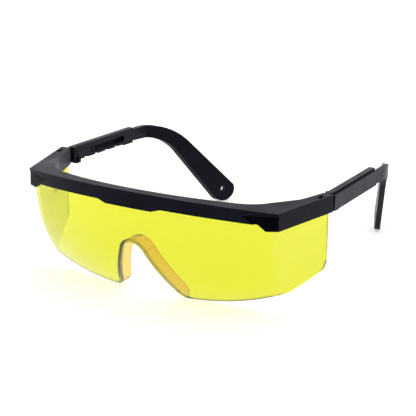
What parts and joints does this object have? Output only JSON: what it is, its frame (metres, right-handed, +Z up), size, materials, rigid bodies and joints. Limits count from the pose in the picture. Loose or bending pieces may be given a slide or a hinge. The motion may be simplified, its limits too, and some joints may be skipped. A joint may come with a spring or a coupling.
{
  "type": "safety glasses",
  "caption": "Wrap-round safety glasses: one yellow lens with side shields in a black brow frame, and temples that fold, tilt and slide to length.",
  "frame": {"origin": "on the ground under the middle of the glasses, standing on the lens and the temple tips", "axes": "+X towards the wearer's left temple, +Y from the lens back to the ears, +Z up"},
  "size_m": [0.1464, 0.1788, 0.0534],
  "materials": {
    "frame_black": "satin black moulded nylon",
    "block_black": "black moulded nylon",
    "temple_black": "satin black moulded nylon",
    "lens_yellow": "clear yellow polycarbonate, polished",
    "pin_steel": "plain steel pin"
  },
  "bodies": {
    "front": {"brow_frame": "frame_black", "lens": "lens_yellow"},
    "block_left": {"hinge_block_left": "block_black"},
    "block_right": {"hinge_block_right": "block_black"},
    "rail_left": {"temple_rail_left": "temple_black", "hinge_pin_left": "pin_steel"},
    "rail_right": {"temple_rail_right": "temple_black", "hinge_pin_right": "pin_steel"},
    "tip_left": {"temple_tip_left": "temple_black"},
    "tip_right": {"temple_tip_right": "temple_black"}
  },
  "joints": [
    {"name": "tilt_left", "type": "hinge", "parent": "front", "child": "block_left", "pos_m": [0.0699, -0.03725, 0.046], "axis": [1, 0, 0], "range_deg": [-10, 10]},
    {"name": "fold_left", "type": "hinge", "parent": "block_left", "child": "rail_left", "pos_m": [0.0693, -0.02975, 0.0464], "axis": [0, 0, 1], "range_deg": [0, 90]},
    {"name": "length_left", "type": "slide", "parent": "rail_left", "child": "tip_left", "axis": [0.0401, -0.9992, 0], "range_m": [-0.0261, 0]},
    {"name": "tilt_right", "type": "hinge", "parent": "front", "child": "block_right", "pos_m": [-0.0699, -0.03725, 0.046], "axis": [1, 0, 0], "range_deg": [-10, 10]},
    {"name": "fold_right", "type": "hinge", "parent": "block_right", "child": "rail_right", "pos_m": [-0.0693, -0.02975, 0.0464], "axis": [0, 0, -1], "range_deg": [0, 80]},
    {"name": "length_right", "type": "slide", "parent": "rail_right", "child": "tip_right", "axis": [-0.0401, -0.9992, 0], "range_m": [-0.0261, 0]}
  ]
}
